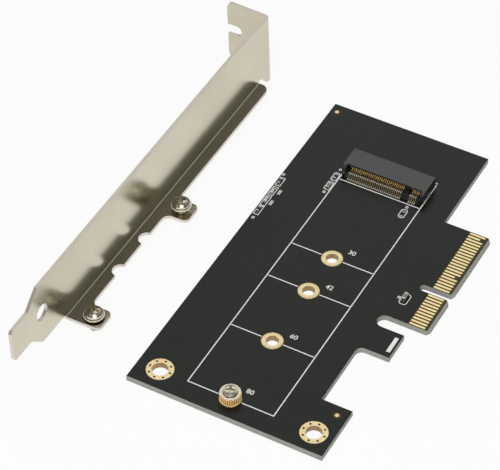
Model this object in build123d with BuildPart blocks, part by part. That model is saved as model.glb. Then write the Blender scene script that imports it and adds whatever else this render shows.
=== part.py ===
from build123d import *
from math import cos, radians, sin
import os

# Adapter card for an M.2 drive, lying flat with its parts upwards, and beside it
# the slot bracket that belongs to it, taken off and standing on its edge.
# X runs along the card away from the bracket end, Y away from the gold fingers
# and Z up. Millimetres. The origin is under the middle of card and bracket.
# Places on the card are given from the hole for an 80 mm drive: u along X, v along Y.

# Where things lie
card_x = -41.89       # the 80 mm hole, from the origin
card_y = -12.93
bracket_u = -18.17    # tip of the bracket's tongue, from the 80 mm hole
bracket_v = 45.84
bracket_turn = -0.61  # degrees about Z, far end towards the card
bracket_lean = 2.0    # degrees, top away from the card

# Circuit board
board_t = 1.6
mask_t = 0.05         # solder mask, and the copper that is bare of it
near_end = -5.25
far_end = 98.7
long_edge = 24.05
short_edge = -18.15
foot_end = 9.7
foot_edge = -25.9
tab_near = 27.95
tab_root_r = 1.7
slot_near = 35.9
block_near = 39.57
block_far = 73.75
block_tip = -30.5
tip_corner = 0.8
bevel_len = 1.3
bevel_t = 0.47
key_u = 51.65
key_w = 1.9
key_end = -22.4

# Gold fingers
finger_first = 40.15
finger_pitch = 1.0
fingers_before_key = 11
fingers_skipped = 2
fingers_total = 32
finger_w = 0.68
finger_inner = -25.1
finger_outer = -29.2
finger_short = 1.0    # how much less far the short ones reach
window_edge = -25.0   # the solder mask stops here

# Plated holes
wall_t = 0.05         # copper on a hole's wall
drive_holes = {"80": 0.0, "60": 20.0, "42": 38.0, "30": 50.0}
drive_hole_r = 1.475
drive_ring_r = 2.6
mount_hole_u = 0.1
mount_hole_v = -1.42  # middle of the two
mount_gap = 39.36
mount_hole_r = 1.95
mount_ring_r = 3.25
vias = 8
via_r = 0.2
fiducial_r = 0.5
fiducial_window_r = 1.1
fiducial_spots = [(7.0, -23.3), (96.1, 22.3)]

# M.2 socket, with u along the card and heights from the board's top
socket_front = 75.95
socket_len = 7.45
socket_back = socket_front + socket_len
socket_h = 3.2
roof_setback = 1.75   # behind the foot of the comb
roof_front = socket_front + roof_setback
cheek_setback = 0.5
cheek_front = socket_front + cheek_setback
cheek_w = 0.9
cheek_corner = 0.35
mouth_w = 20.1
socket_w = mouth_w + 2 * cheek_w
mouth_low = 1.3
mouth_high = 2.5
back_wall = 1.8
mouth_back = socket_back - back_wall
comb_lean = 0.45      # how far the comb's front leans back at its top
key_rib_v = -6.125
key_rib_w = 1.0
row_pitch = 0.5
lower_first = 9.0
lower_total = 37
upper_first = 9.25
upper_total = 38
key_gap = 2.0
contact_w = 0.22
contact_t = 0.15
contact_foot = 1.0    # length of an upper contact's foot behind the block
contact_gap = 0.06
cavity_w = 0.28
cavity_floor = 0.5    # floor of a lower cavity
lower_tail = 0.55     # length of a lower contact's tail in front of the comb
lower_hump = 0.3      # length of its bend over the comb's edge
lower_sag = 0.2       # dip, crest and tip, how far in from the roof's front edge
lower_reach = 1.5
lower_tip = 2.0
lower_crest = 1.77
upper_bend = 2.6
upper_reach = 0.75
upper_tip = 0.3
upper_crest = 2.02
peg_r = 0.5
peg_len = 1.1
peg_setback = 4.25
peg_u = socket_front + peg_setback
peg_inset = 1.45
peg_v = mouth_w / 2 - peg_inset
peg_gap = 0.05
hold_down_setback = 3.65
hold_down_u = socket_front + hold_down_setback
hold_down_w = 1.5
hold_down_h = 0.9
hold_down_foot = 0.3
hold_down_t = 0.15

# Standoff and its screw
standoff_r = 2.58
standoff_h = 2.0
spigot_r = 1.4
spigot_len = 1.35
tapped_r = 1.0
small_shank_r = 0.95
small_shank_len = 2.6
small_flange_r = 2.45
small_flange_t = 0.28
small_head_r = 1.75
small_head_side = 0.45
small_head_h = 1.15

# Chips
land_t = 0.04         # solder under a chip's end
chip_w = 0.8
chip_h = 0.45
chip_len = 1.6
cap_len = 0.32
land_w = 0.95
land_len = 0.75
land_gap = 1.05
chip_row_v = 23.1
pair_gap = 1.05       # from the socket's side to the two chips beside it
pair_row_v = socket_w / 2 + pair_gap
lamp_lens_h = 0.4
lamp_base_h = 0.28
big_len = 2.1
big_w = 1.05
big_h = 0.8
big_cap = 0.42
spare_u = 71.37
spare_v = -8.0

# Bracket: s along it from the tongue's tip, h up, d out towards the card
sheet = 0.86
plate_len = 120.0
plate_h = 18.42
tongue_len = 6.95
tongue_low = 5.15
tongue_high = 14.47
tongue_corner = 0.7
shoulder_low = 11.4
shoulder_high = 11.5
edge_drop = 0.15      # how far the plate reaches down beside the bend
plate_hole_s = 12.2
plate_hole_h = 10.0
plate_hole_r = 2.15
flange_end = 7.3      # the flange stops short of the far end
flange_far = plate_len - flange_end
flange_d = 4.15
bend_r = 0.4
ear_w = 6.1
ear_d = 10.05
ear_corner = 1.5
ear_root_r = 2.0
ear_hole_s = 23.75
ear_hole_gap = 40.1
ear_hole_d = 6.9
flange_near = ear_hole_s - ear_w / 2
notch_s = [39.4, 51.45]
notch_r = 2.0
notch_depth = 1.75
relief_end = 5.05
relief_s = plate_len - relief_end
foot_end_s = 3.9
foot_s = plate_len - foot_end_s
foot_h = -1.1
foot_flat = 2.6
foot_flat_s = plate_len - foot_flat
foot_drop = 2.4
taper_len = 18.0      # the plate's upper edge slopes down to the fold
taper_drop = 1.05
fold_r = 0.75
end_tab_d = 11.2
end_tab_rise = 0.6    # and the end tab's rises again from it
end_tab_low = 0.4
end_tab_root = 3.4
end_tab_corner = 1.5
end_slot_h = 9.42
end_slot_w = 3.15
end_slot_end = 7.2
floor_gap = 0.03

# Bracket screws
shank_r = 1.45
shank_len = 4.0
shank_gap = 0.05
head_flange_r = 2.55
head_flange_t = 0.35
head_r = 2.15
head_side = 0.65
head_h = 1.75
near_screw_h = 1.4    # underside of the head's flange, from the bracket flange's underside
far_screw_h = 2.4

os.makedirs("parts", exist_ok=True)

base = Plane(origin=(card_x, card_y, 0))
top = base.offset(board_t)
side = Plane(origin=(card_x, card_y, board_t), x_dir=(1, 0, 0), z_dir=(0, -1, 0))
across = Plane(origin=(card_x, card_y, 0), x_dir=(0, 1, 0), z_dir=(1, 0, 0))
mount_spots = {"left": mount_hole_v + mount_gap / 2, "right": mount_hole_v - mount_gap / 2}
via_circle_r = (mount_hole_r + mount_ring_r) / 2


def finger_places():
    """Places of the fingers along the card, with the key's gap left out."""
    places = []
    for i in range(fingers_total):
        skip = fingers_skipped if i >= fingers_before_key else 0
        places.append(finger_first + (i + skip) * finger_pitch)
    return places


def row_planes(row):
    """Upright planes across the socket, one for each contact of a row."""
    kept = [v for v in row if abs(v - key_rib_v) > key_gap / 2]
    return [side.offset(-v) for v in kept]


# Circuit board: one routed panel of glass laminate. Foot and tab stand out below the
# bracket end, the block with the fingers plugs in, and a rounded slot parts it from the tab.
slot_r = (block_near - slot_near) / 2
slot_mid = slot_near + slot_r
with BuildPart() as pcb:
    with BuildSketch(base):
        with BuildLine():
            Polyline(
                (slot_near, short_edge - slot_r),
                (slot_near, foot_edge),
                (tab_near, foot_edge),
                (tab_near, short_edge - tab_root_r),
            )
            RadiusArc(
                (tab_near, short_edge - tab_root_r),
                (tab_near - tab_root_r, short_edge),
                -tab_root_r,
            )
            Polyline(
                (tab_near - tab_root_r, short_edge),
                (foot_end, short_edge),
                (foot_end, foot_edge),
                (near_end, foot_edge),
                (near_end, long_edge),
                (far_end, long_edge),
                (far_end, short_edge),
                (block_far, short_edge),
                (block_far, block_tip + tip_corner),
                (block_far - tip_corner, block_tip),
                (block_near + tip_corner, block_tip),
                (block_near, block_tip + tip_corner),
                (block_near, short_edge - slot_r),
            )
            ThreePointArc(
                (block_near, short_edge - slot_r),
                (slot_mid, short_edge),
                (slot_near, short_edge - slot_r),
            )
        make_face()
    extrude(amount=board_t)
    # The key slot, rounded at its inner end, with the corners of its mouth taken off.
    with BuildSketch(base):
        with Locations((key_u, block_tip)):
            SlotOverall(2 * (key_end - block_tip), key_w, rotation=90)
        with BuildLine():
            Polyline(
                (key_u - key_w / 2 - tip_corner, block_tip),
                (key_u - key_w / 2, block_tip + tip_corner),
                (key_u + key_w / 2, block_tip + tip_corner),
                (key_u + key_w / 2 + tip_corner, block_tip),
                close=True,
            )
        make_face()
    extrude(amount=board_t, mode=Mode.SUBTRACT)
    # The tip is bevelled on both faces, to find its way into the slot.
    with BuildSketch(across.offset(block_near)):
        for face_z, way in ((0, 1), (board_t, -1)):
            with BuildLine():
                Polyline(
                    (block_tip, face_z),
                    (block_tip + bevel_len, face_z),
                    (block_tip, face_z + way * bevel_t),
                    close=True,
                )
            make_face()
    extrude(amount=block_far - block_near, mode=Mode.SUBTRACT)
    # The solder mask stops short of the fingers and of each plated ring, on both faces.
    for face in (base, top.offset(-mask_t)):
        with BuildSketch(face):
            with Locations(((block_near + block_far) / 2, (window_edge + block_tip) / 2)):
                Rectangle(block_far - block_near, window_edge - block_tip)
            with Locations(*[(u, 0) for u in drive_holes.values()]):
                Circle(drive_ring_r)
            with Locations(*[(mount_hole_u, v) for v in mount_spots.values()]):
                Circle(mount_ring_r)
        extrude(amount=mask_t, mode=Mode.SUBTRACT)
    with BuildSketch(top.offset(-mask_t)):
        with Locations(*fiducial_spots):
            Circle(fiducial_window_r)
    extrude(amount=mask_t, mode=Mode.SUBTRACT)
    # Drilled holes, each wider than the finished one by the copper on its wall.
    with BuildSketch(base):
        with Locations(*[(u, 0) for u in drive_holes.values()]):
            Circle(drive_hole_r + wall_t)
        for v in mount_spots.values():
            with Locations((mount_hole_u, v)):
                Circle(mount_hole_r + wall_t)
                with PolarLocations(via_circle_r, vias):
                    Circle(via_r + wall_t)
        with Locations((peg_u, peg_v), (peg_u, -peg_v)):
            Circle(peg_r + peg_gap)
    extrude(amount=board_t, mode=Mode.SUBTRACT)
pcb.part.label = "pcb"
export_step(pcb.part, "parts/pcb.step")

# Gold fingers: thin plated pads, flush with the mask around them. The last ones to touch
# are shorter at the tip: two on the front, the first on the back.
finger_mid = (finger_inner + finger_outer) / 2
finger_len = finger_inner - finger_outer
short_fingers = {"front": (16, 30), "back": (0,)}
for name, face in (("front", top.offset(-mask_t)), ("back", base)):
    with BuildPart() as fingers:
        with BuildSketch(face):
            for i, u in enumerate(finger_places()):
                cut = finger_short if i in short_fingers[name] else 0
                with Locations((u, finger_mid + cut / 2)):
                    Rectangle(finger_w, finger_len - cut)
        extrude(amount=mask_t)
    fingers.part.label = f"edge_contacts_{name}"
    export_step(fingers.part, f"parts/edge_contacts_{name}.step")

# Plated holes: a ring on each face, joined by the copper wall of the hole.
for name, u in drive_holes.items():
    with BuildPart() as plating:
        for face in (base, top.offset(-mask_t)):
            with BuildSketch(face):
                with Locations((u, 0)):
                    Circle(drive_ring_r)
            extrude(amount=mask_t)
        with BuildSketch(base):
            with Locations((u, 0)):
                Circle(drive_hole_r + wall_t)
        extrude(amount=board_t)
        with BuildSketch(base):
            with Locations((u, 0)):
                Circle(drive_hole_r)
        extrude(amount=board_t, mode=Mode.SUBTRACT)
    plating.part.label = f"plated_hole_{name}"
    export_step(plating.part, f"parts/plated_hole_{name}.step")

# Mounting rings: as the drive's holes, wider, with a circle of small plated vias.
for name, v in mount_spots.items():
    with BuildPart() as ring:
        for face in (base, top.offset(-mask_t)):
            with BuildSketch(face):
                with Locations((mount_hole_u, v)):
                    Circle(mount_ring_r)
            extrude(amount=mask_t)
        for wall, mode in ((wall_t, Mode.ADD), (0, Mode.SUBTRACT)):
            with BuildSketch(base):
                with Locations((mount_hole_u, v)):
                    Circle(mount_hole_r + wall)
                    with PolarLocations(via_circle_r, vias):
                        Circle(via_r + wall)
            extrude(amount=board_t, mode=mode)
    ring.part.label = f"mounting_ring_{name}"
    export_step(ring.part, f"parts/mounting_ring_{name}.step")

# Fiducials: bare copper dots that a placing machine lines up on.
with BuildPart() as fiducials:
    with BuildSketch(top.offset(-mask_t)):
        with Locations(*fiducial_spots):
            Circle(fiducial_r)
    extrude(amount=mask_t)
fiducials.part.label = "fiducials"
export_step(fiducials.part, "parts/fiducials.step")

# M.2 socket: a moulded block with a leaning comb under the mouth, a roof over it, a cheek
# at each end, a rib that keys the drive, and a cavity for each contact.
lower_planes = row_planes([lower_first - i * row_pitch for i in range(lower_total)])
upper_planes = row_planes([upper_first - i * row_pitch for i in range(upper_total)])
roof_cavity = mouth_high + contact_t + contact_gap
cavity_end = mouth_back - 4 * contact_t
riser_u = socket_front + contact_t
slot_u = riser_u + contact_gap
slot_lean = comb_lean * cavity_floor / mouth_low
with BuildPart() as housing:
    with BuildSketch(side):
        with BuildLine():
            Polyline(
                (socket_front, 0),
                (socket_front + comb_lean, mouth_low),
                (mouth_back, mouth_low),
                (mouth_back, mouth_high),
                (roof_front + contact_t, mouth_high),
                (roof_front, mouth_high + contact_t),
                (roof_front, socket_h),
                (socket_back, socket_h),
                (socket_back, 0),
                close=True,
            )
        make_face()
    extrude(amount=mouth_w / 2, both=True)
    with BuildSketch(side.offset(mouth_w / 2), side.offset(-mouth_w / 2 - cheek_w)) as cheeks:
        with BuildLine():
            Polyline(
                (cheek_front, 0),
                (cheek_front, mouth_high),
                (roof_front, socket_h),
                (socket_back, socket_h),
                (socket_back, 0),
                close=True,
            )
        make_face()
        fillet(cheeks.vertices().group_by(Axis.X)[0].sort_by(Axis.Y)[-1], cheek_corner)
    extrude(amount=cheek_w)
    with BuildSketch(side.offset(-key_rib_v)):
        with Locations(((roof_front + mouth_back) / 2, (mouth_low + mouth_high) / 2)):
            Rectangle(mouth_back - roof_front, mouth_high - mouth_low)
    extrude(amount=key_rib_w / 2, both=True)
    with BuildSketch(*lower_planes):
        with BuildLine():
            Polyline(
                (socket_front, 0),
                (socket_front, mouth_low),
                (cavity_end, mouth_low),
                (cavity_end, cavity_floor),
                (slot_u + slot_lean, cavity_floor),
                (slot_u, 0),
                close=True,
            )
        make_face()
    extrude(amount=cavity_w / 2, both=True, mode=Mode.SUBTRACT)
    with BuildSketch(*upper_planes):
        with BuildLine():
            Polyline(
                (roof_front + 2 * contact_t, mouth_high),
                (roof_front + 2 * contact_t, roof_cavity),
                (socket_back, roof_cavity),
                (socket_back, 0),
                (socket_back - contact_t, 0),
                (socket_back - contact_t, mouth_high),
                close=True,
            )
        make_face()
    extrude(amount=cavity_w / 2, both=True, mode=Mode.SUBTRACT)
    with BuildSketch(top):
        with Locations((peg_u, peg_v), (peg_u, -peg_v)):
            Circle(peg_r)
    extrude(amount=-peg_len)
housing.part.label = "m2_socket_housing"
export_step(housing.part, "parts/m2_socket_housing.step")

# Lower contacts: each has its tail on the board, climbs the comb's front, bends over its
# edge, dips into its cavity and springs up in the mouth.
with BuildPart() as lower:
    with BuildSketch(*lower_planes):
        with BuildLine():
            Polyline(
                (socket_front - lower_tail, 0),
                (riser_u, 0),
                (riser_u + comb_lean, mouth_low),
                (riser_u + comb_lean + lower_hump, mouth_low),
                (roof_front + lower_sag, cavity_floor + contact_gap),
                (roof_front + lower_reach, lower_crest - contact_t),
                (roof_front + lower_tip, lower_crest - 2 * contact_t),
            )
            offset(amount=contact_t, side=Side.LEFT)
        make_face()
    extrude(amount=contact_w / 2, both=True)
lower.part.label = "m2_lower_contacts"
export_step(lower.part, "parts/m2_lower_contacts.step")

# Upper contacts: each stands behind the block, runs forward under the roof and springs down.
with BuildPart() as upper:
    with BuildSketch(*upper_planes):
        with BuildLine():
            Polyline(
                (socket_back + contact_foot, 0),
                (socket_back - contact_t, 0),
                (socket_back - contact_t, roof_cavity - contact_t),
                (roof_front + upper_bend, roof_cavity - contact_t),
                (roof_front + upper_reach, upper_crest),
                (roof_front + upper_tip, upper_crest + contact_t),
            )
            offset(amount=contact_t, side=Side.RIGHT)
        make_face()
    extrude(amount=contact_w / 2, both=True)
upper.part.label = "m2_upper_contacts"
export_step(upper.part, "parts/m2_upper_contacts.step")

# Hold-downs: a bent tab at each end of the socket, soldered to the board.
socket_side = socket_w / 2
for name, way in (("left", 1), ("right", -1)):
    end = Plane(
        origin=(card_x + hold_down_u - way * hold_down_w / 2, card_y, board_t),
        x_dir=(0, way, 0),
        z_dir=(way, 0, 0),
    )
    with BuildPart() as hold_down:
        with BuildSketch(end):
            with BuildLine():
                FilletPolyline(
                    (socket_side, hold_down_h),
                    (socket_side, 0),
                    (socket_side + hold_down_foot, 0),
                    radius=hold_down_t / 4,
                )
                offset(amount=hold_down_t, side=Side.LEFT)
            make_face()
        extrude(amount=hold_down_w)
    hold_down.part.label = f"m2_hold_down_{name}"
    export_step(hold_down.part, f"parts/m2_hold_down_{name}.step")


def dome(r, low, high):
    """A screw head's rounded top, from its rim in to the axis, in a (radius, height) sketch."""
    bulge = (r**2 + (high - low) ** 2) / (2 * (high - low))
    RadiusArc((r, low), (0, high), -bulge)


# Standoff: a turned brass post with a tapped hole, seated on the ring of the 80 mm hole
# by its wide part and held in it by its spigot.
post = Plane(origin=(card_x + drive_holes["80"], card_y, board_t), x_dir=(1, 0, 0), z_dir=(0, -1, 0))
post_axis = Axis(post.origin, (0, 0, 1))
with BuildPart() as standoff:
    with BuildSketch(post):
        with BuildLine():
            Polyline(
                (tapped_r, -spigot_len),
                (spigot_r, -spigot_len),
                (spigot_r, 0),
                (standoff_r, 0),
                (standoff_r, standoff_h),
                (tapped_r, standoff_h),
                close=True,
            )
        make_face()
    revolve(axis=post_axis)
standoff.part.label = "standoff"
export_step(standoff.part, "parts/standoff.step")

# Standoff screw: a pan head with a flange, which clamps the drive's end to the standoff.
with BuildPart() as standoff_screw:
    with BuildSketch(post):
        with BuildLine():
            Polyline(
                (0, standoff_h + small_head_h),
                (0, standoff_h - small_shank_len),
                (small_shank_r, standoff_h - small_shank_len),
                (small_shank_r, standoff_h),
                (small_flange_r, standoff_h),
                (small_flange_r, standoff_h + small_flange_t),
                (small_head_r, standoff_h + small_flange_t),
                (small_head_r, standoff_h + small_flange_t + small_head_side),
            )
            dome(small_head_r, standoff_h + small_flange_t + small_head_side, standoff_h + small_head_h)
        make_face()
    revolve(axis=post_axis)
standoff_screw.part.label = "standoff_screw"
export_step(standoff_screw.part, "parts/standoff_screw.step")

# Chips: each block stands on two solder lands with a metal cap at each end. A lamp is a
# thin base with a clear lens moulded on it.
chip_seat = top.offset(land_t)
small_chips = {
    "resistor_1": (67.2, chip_row_v),
    "resistor_2": (56.2, chip_row_v),
    "resistor_3": (75.05, pair_row_v),
    "capacitor_1": (71.5, pair_row_v),
}
lamps = {"lamp_1": (63.5, chip_row_v), "lamp_2": (60.2, chip_row_v)}
big_chip = (46.7, -20.75)


def chip(name, place, length, width, height, cap):
    """Write a chip's block and its two end caps."""
    for part_name, middle, size in (
        (name, [0], length - 2 * cap),
        (f"{name}_caps", [-(length - cap) / 2, (length - cap) / 2], cap),
    ):
        with BuildPart() as piece:
            with BuildSketch(chip_seat):
                with Locations(*[(place[0] + m, place[1]) for m in middle]):
                    Rectangle(size, width)
            extrude(amount=height)
        piece.part.label = part_name
        export_step(piece.part, f"parts/{part_name}.step")


for name, place in small_chips.items():
    chip(name, place, chip_len, chip_w, chip_h, cap_len)
chip("capacitor_2", big_chip, big_len, big_w, big_h, big_cap)

for name, (u, v) in lamps.items():
    with BuildPart() as lamp_base:
        with BuildSketch(chip_seat):
            with Locations((u, v)):
                Rectangle(chip_len, chip_w)
        extrude(amount=lamp_base_h)
    lamp_base.part.label = name
    export_step(lamp_base.part, f"parts/{name}.step")
    with BuildPart() as lens:
        with BuildSketch(chip_seat.offset(lamp_base_h)):
            with Locations((u, v)):
                Rectangle(chip_len - 2 * cap_len, chip_w)
        extrude(amount=lamp_lens_h, taper=8)
    lens.part.label = f"{name}_lens"
    export_step(lens.part, f"parts/{name}_lens.step")

# Solder lands: a pair under each chip, and a pair that holds none.
land_reach = (land_gap + land_len) / 2
with BuildPart() as lands:
    with BuildSketch(top):
        for u, v in (*small_chips.values(), *lamps.values(), (spare_u, spare_v)):
            with Locations((u - land_reach, v), (u + land_reach, v)):
                Rectangle(land_len, land_w)
        with Locations((big_chip[0] - big_len / 2, big_chip[1]), (big_chip[0] + big_len / 2, big_chip[1])):
            Rectangle(land_len, big_w)
    extrude(amount=land_t)
lands.part.label = "solder_lands"
export_step(lands.part, "parts/solder_lands.step")

# Bracket: one blank of nickel-plated steel, folded twice. The plate stands on edge, a
# narrow flange with two ears is folded towards the card along its lower edge, and an
# end tab with an open slot is folded the other way.
turn = radians(bracket_turn)
lean = radians(bracket_lean)
stand = Plane(
    origin=(card_x + bracket_u, card_y + bracket_v, foot_drop + floor_gap),
    x_dir=(cos(turn), sin(turn), 0),
    z_dir=(-sin(turn) * sin(lean), cos(turn) * sin(lean), cos(lean)),
)
face = Plane(origin=stand.origin, x_dir=stand.x_dir, z_dir=-stand.y_dir)
section = Plane(origin=stand.origin, x_dir=-stand.y_dir, z_dir=-stand.x_dir)
bend_out = bend_r + sheet
plate_low = bend_out - edge_drop
fold_top = plate_h - taper_drop
fold_out = fold_r + sheet
fold_s = plate_len - fold_out
ear_spots = [ear_hole_s, ear_hole_s + ear_hole_gap]
with BuildPart() as bracket:
    # The plate, with the narrow tongue at one end and the foot at the other.
    with BuildSketch(face):
        with BuildLine():
            Polyline(
                (tongue_corner, tongue_low),
                (tongue_len, tongue_low),
                (shoulder_low, plate_low),
                (flange_near, plate_low),
                (flange_near, bend_out),
                (flange_far, bend_out),
                (flange_far, plate_low),
                (relief_s, plate_low),
                (foot_s, foot_h),
                (foot_flat_s, -foot_drop),
                (fold_s, -foot_drop),
                (fold_s, fold_top),
                (plate_len - taper_len, plate_h),
                (shoulder_high, plate_h),
                (tongue_len, tongue_high),
                (tongue_corner, tongue_high),
                (0, tongue_high - tongue_corner),
                (0, tongue_low + tongue_corner),
                close=True,
            )
        make_face()
        with Locations((plate_hole_s, plate_hole_h)):
            Circle(plate_hole_r, mode=Mode.SUBTRACT)
    extrude(amount=sheet)
    # The bend between plate and flange.
    with BuildSketch(section.offset(-flange_far)):
        with BuildLine():
            RadiusArc((0, bend_out), (bend_out, 0), -bend_out)
            Line((bend_out, 0), (bend_out, sheet))
            RadiusArc((bend_out, sheet), (sheet, bend_out), bend_r)
            Line((sheet, bend_out), (0, bend_out))
        make_face()
    extrude(amount=flange_far - flange_near)
    # The flange, with its ears, their rounded roots and the two scallops.
    with BuildSketch(stand) as flange:
        with Locations(((flange_near + flange_far) / 2, -(bend_out + flange_d) / 2)):
            Rectangle(flange_far - flange_near, flange_d - bend_out)
        for s in ear_spots:
            with Locations((s, -(bend_out + ear_d) / 2)):
                Rectangle(ear_w, ear_d - bend_out)
        roots = flange.vertices().group_by(Axis.Y)[1].sort_by(Axis.X)[:-1]
        fillet(roots, ear_root_r)
        tips = flange.vertices().group_by(Axis.Y)[0]
        fillet(tips, ear_corner)
        for s in notch_s:
            with Locations((s, -flange_d - notch_r + notch_depth)):
                Circle(notch_r, mode=Mode.SUBTRACT)
        with Locations(*[(s, -ear_hole_d) for s in ear_spots]):
            Circle(shank_r + shank_gap, mode=Mode.SUBTRACT)
    extrude(amount=sheet)
    # The fold at the far end.
    with BuildSketch(stand.offset(-foot_drop)):
        with BuildLine():
            RadiusArc((fold_s, -sheet), (plate_len, fold_r), -fold_out)
            Line((plate_len, fold_r), (plate_len - sheet, fold_r))
            RadiusArc((plate_len - sheet, fold_r), (fold_s, 0), fold_r)
            Line((fold_s, 0), (fold_s, -sheet))
        make_face()
    extrude(amount=fold_top + foot_drop)
    # The end tab, with the slot for the case's screw open at its free edge.
    with BuildSketch(section.offset(-plate_len)) as end_tab:
        with BuildLine():
            Polyline(
                (-fold_r, -foot_drop),
                (-end_tab_root, end_tab_low),
                (-end_tab_d, end_tab_low),
                (-end_tab_d, fold_top + end_tab_rise),
                (-fold_r, fold_top),
                close=True,
            )
        make_face()
        fillet(end_tab.vertices().group_by(Axis.X)[0], end_tab_corner)
        slot_depth = end_tab_d - end_slot_end
        with Locations((-end_tab_d, end_slot_h)):
            SlotOverall(2 * slot_depth, end_slot_w, mode=Mode.SUBTRACT)
    extrude(amount=sheet)
bracket.part.label = "bracket"
export_step(bracket.part, "parts/bracket.step")

# Bracket screws: pan heads with a flange, left part of the way into the ears' tapped holes.
screw_heights = {"near": near_screw_h, "far": far_screw_h}
for (name, height), s in zip(screw_heights.items(), ear_spots):
    seat = Plane(
        origin=stand.from_local_coords((s, -ear_hole_d, height)),
        x_dir=stand.x_dir,
        z_dir=-stand.y_dir,
    )
    with BuildPart() as screw:
        with BuildSketch(seat):
            with BuildLine():
                Polyline(
                    (0, head_h),
                    (0, -shank_len),
                    (shank_r, -shank_len),
                    (shank_r, 0),
                    (head_flange_r, 0),
                    (head_flange_r, head_flange_t),
                    (head_r, head_flange_t),
                    (head_r, head_flange_t + head_side),
                )
                dome(head_r, head_flange_t + head_side, head_h)
            make_face()
        revolve(axis=Axis(seat.origin, stand.z_dir))
    screw.part.label = f"bracket_screw_{name}"
    export_step(screw.part, f"parts/bracket_screw_{name}.step")
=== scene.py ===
from math import cos, hypot, pi, radians, sin, sqrt, tau

import bmesh
import bpy
from mathutils import Matrix, Vector
from mathutils.bvhtree import BVHTree


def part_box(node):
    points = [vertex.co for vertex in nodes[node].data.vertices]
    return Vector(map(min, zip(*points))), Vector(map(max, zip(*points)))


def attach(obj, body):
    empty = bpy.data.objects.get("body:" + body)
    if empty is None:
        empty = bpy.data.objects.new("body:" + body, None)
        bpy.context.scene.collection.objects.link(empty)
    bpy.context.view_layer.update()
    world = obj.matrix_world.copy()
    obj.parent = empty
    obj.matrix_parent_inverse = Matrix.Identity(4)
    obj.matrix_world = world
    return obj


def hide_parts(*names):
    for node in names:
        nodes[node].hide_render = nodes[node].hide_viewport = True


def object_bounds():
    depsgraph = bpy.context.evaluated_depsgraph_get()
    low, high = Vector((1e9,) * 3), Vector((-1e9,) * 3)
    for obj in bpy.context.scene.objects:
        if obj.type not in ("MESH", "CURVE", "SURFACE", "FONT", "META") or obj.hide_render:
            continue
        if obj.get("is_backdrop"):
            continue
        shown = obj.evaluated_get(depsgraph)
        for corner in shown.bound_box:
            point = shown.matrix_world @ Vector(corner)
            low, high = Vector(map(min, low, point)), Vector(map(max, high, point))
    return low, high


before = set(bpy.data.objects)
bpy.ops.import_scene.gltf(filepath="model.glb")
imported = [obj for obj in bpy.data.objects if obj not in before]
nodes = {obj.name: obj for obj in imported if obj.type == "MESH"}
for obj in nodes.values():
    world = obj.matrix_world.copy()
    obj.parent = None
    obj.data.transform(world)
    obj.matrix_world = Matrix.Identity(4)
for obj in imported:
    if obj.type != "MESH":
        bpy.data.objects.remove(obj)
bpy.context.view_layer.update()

# Laminate of the card
# A 1.6 mm panel of glass cloth and resin, routed to shape and drilled. Foot, tab and
# finger block stand out on one side, and the block's tip is bevelled on both faces.
mm = 0.001
weld = 0.0005
hole_low, hole_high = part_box("plated_hole_80")
card_x = (hole_low.x + hole_high.x) / 2 / mm
card_y = (hole_low.y + hole_high.y) / 2 / mm
board_low, board_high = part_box("pcb")
board_t = board_high.z / mm
near_end = board_low.x / mm - card_x
far_end = board_high.x / mm - card_x
long_edge = board_high.y / mm - card_y
block_tip = board_low.y / mm - card_y
short_edge = -18.15
foot_end = 9.7
foot_edge = -25.9
tab_near = 27.95
tab_root_r = 1.7
slot_near = 35.9
block_near = 39.57
block_far = 73.75
tip_corner = 0.8
bevel_len = 0.6
bevel_t = 0.4
key_u = 51.65
key_w = 1.9
key_end = -22.4
routed_edge = 0.04
mask_t = 0.03
drive_holes = {"80": 0.0, "60": 20.0, "42": 38.0, "30": 50.0}
drive_hole_r = 1.475
mount_spots = {"left": (0.1, 18.26), "right": (0.1, -21.1)}
mount_hole_r = 1.95
wall_t = 0.05
peg_u = 80.2
peg_v = 8.6
peg_hole_r = 0.55


def arc(middle, radius, start, end, steps=12):
    """Points along an arc, from one angle to another in degrees."""
    angles = [radians(start + (end - start) * i / steps) for i in range(steps + 1)]
    return [(middle[0] + radius * cos(a), middle[1] + radius * sin(a)) for a in angles]


def circle(u, v, radius, steps=48):
    """A closed loop round a place on the card."""
    return arc((u, v), radius, 0, 360, steps)[:-1]


def card_outline(tip, corner):
    """The card's outline, with its finger block cut off at the given line."""
    slot_r = (block_near - slot_near) / 2
    key_r = key_w / 2
    return [
        (near_end, foot_edge),
        (foot_end, foot_edge),
        (foot_end, short_edge),
        *arc((tab_near - tab_root_r, short_edge - tab_root_r), tab_root_r, 90, 0),
        (tab_near, foot_edge),
        (slot_near, foot_edge),
        *arc((slot_near + slot_r, short_edge - slot_r), slot_r, 180, 0),
        (block_near, tip + corner),
        (block_near + corner, tip),
        (key_u - key_r - corner, tip),
        (key_u - key_r, tip + corner),
        *arc((key_u, key_end - key_r), key_r, 180, 0),
        (key_u + key_r, tip + corner),
        (key_u + key_r + corner, tip),
        (block_far - corner, tip),
        (block_far, tip + corner),
        (block_far, short_edge),
        (far_end, short_edge),
        (far_end, long_edge),
        (near_end, long_edge),
    ]


def without_doubles(points, least=0.005):
    """The same points, less those that lie on the one before."""
    kept = [points[0]]
    for point in points[1:]:
        if hypot(point[0] - kept[-1][0], point[1] - kept[-1][1]) > least:
            kept.append(point)
    return kept


def made(name, shape, place=None):
    """A mesh object from a bmesh in millimetres, put in its place in the row's frame."""
    mesh = bpy.data.meshes.new(name)
    bmesh.ops.recalc_face_normals(shape, faces=shape.faces)
    shape.to_mesh(mesh)
    shape.free()
    mesh.transform(Matrix.Scale(mm, 4) @ (place or Matrix.Translation((card_x, card_y, 0))))
    piece = bpy.data.objects.new(name, mesh)
    bpy.context.scene.collection.objects.link(piece)
    return piece


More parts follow.
